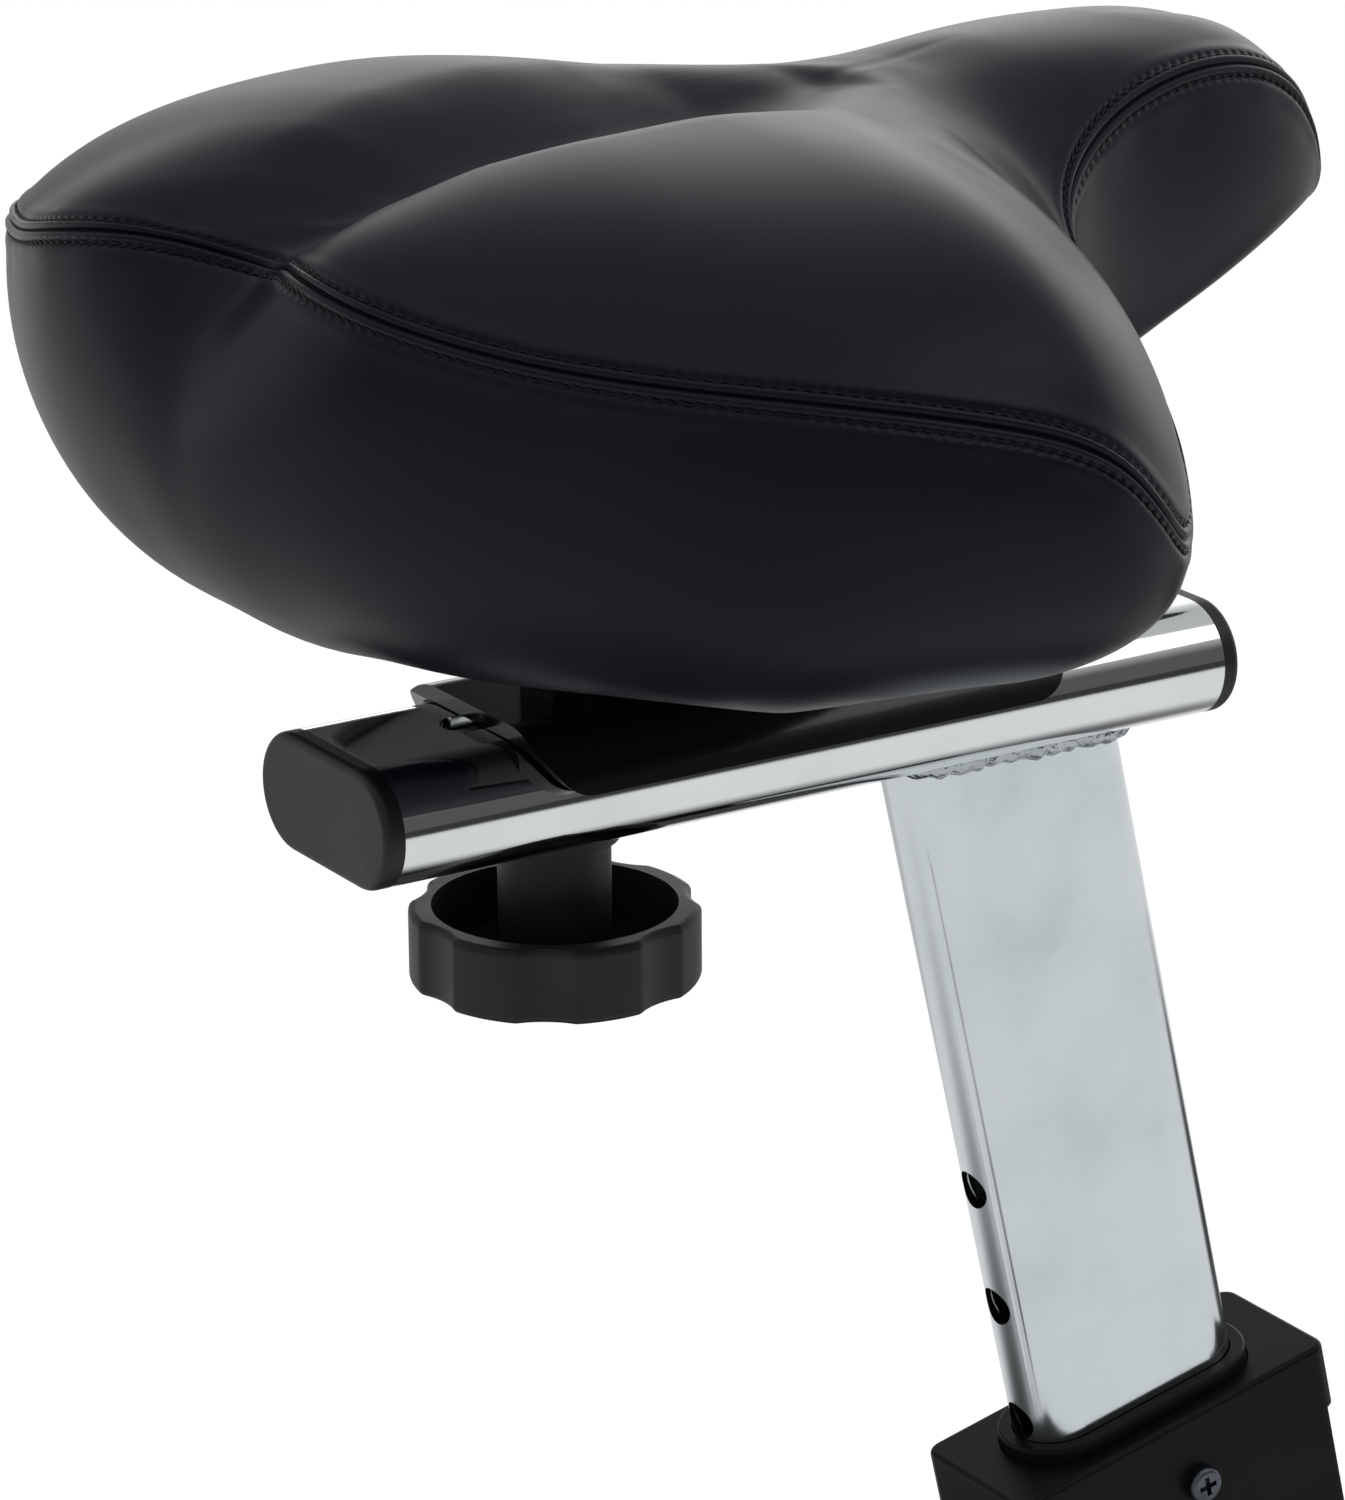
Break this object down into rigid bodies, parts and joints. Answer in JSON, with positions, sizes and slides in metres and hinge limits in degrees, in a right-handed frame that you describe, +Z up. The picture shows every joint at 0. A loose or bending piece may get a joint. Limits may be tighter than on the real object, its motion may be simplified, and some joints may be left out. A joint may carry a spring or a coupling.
{
  "type": "exercise bike seat assembly",
  "caption": "Padded wide saddle on a chromed fore-and-aft slider with a clamp knob, carried by a leaning, height-adjustable seat post in a shrouded seat tube with a pull pin.",
  "frame": {"origin": "centre of the level lower end of the seat tube", "axes": "+X forward along the slider towards the saddle's nose, +Y to the rider's left, +Z up"},
  "size_m": [0.3249, 0.292, 0.5801],
  "materials": {
    "saddle_cover": "soft sheen, stitched",
    "slider_chrome": "polished",
    "post_plating": "polished, faintly clouded",
    "bracket_paint": "gloss",
    "frame_paint": "satin",
    "shroud_plastic": "satin",
    "black_plastic": "matt",
    "pan_plastic": "matt",
    "zinc": "zinc plated"
  },
  "bodies": {
    "frame": {"seat_tube": "frame_paint", "post_bush": "black_plastic", "shroud_left": "shroud_plastic", "shroud_right": "shroud_plastic", "shroud_screw_left_upper": "zinc", "shroud_screw_left_lower": "zinc", "shroud_screw_right_upper": "zinc", "shroud_screw_right_lower": "zinc", "pin_barrel": "zinc", "pin_cap": "zinc"},
    "pin": {"pull_pin": "zinc", "pin_knob": "black_plastic"},
    "post": {"seat_post": "post_plating", "post_plug": "black_plastic", "post_weld": "post_plating", "slider_tube": "slider_chrome", "slider_cap_rear": "black_plastic", "slider_cap_front": "black_plastic"},
    "saddle": {"slider_bracket": "bracket_paint", "clamp_nut": "bracket_paint", "saddle_bolt_rear_left": "zinc", "saddle_bolt_rear_right": "zinc", "saddle_bolt_front_left": "zinc", "saddle_bolt_front_right": "zinc", "saddle_pan": "pan_plastic", "saddle_cushion": "saddle_cover"},
    "knob": {"clamp_knob": "black_plastic", "knob_stud": "zinc", "knob_washer": "black_plastic"}
  },
  "joints": [
    {"name": "seat_height", "type": "slide", "parent": "frame", "child": "post", "axis": [-0.2233, 0, 0.9748], "range_m": [-0.1204, 0.0602]},
    {"name": "saddle_fore_aft", "type": "slide", "parent": "post", "child": "saddle", "axis": [1, 0, 0], "range_m": [-0.02, 0.04]},
    {"name": "knob_turn", "type": "hinge", "parent": "saddle", "child": "knob", "pos_m": [-0.20833, 0, 0.4089], "axis": [0, 0, 1], "continuous": true},
    {"name": "pin_pull", "type": "slide", "parent": "frame", "child": "pin", "axis": [-0.9748, 0, -0.2233], "range_m": [0, 0.01], "stiffness_N_per_m": 800, "springref_m": -0.006}
  ]
}
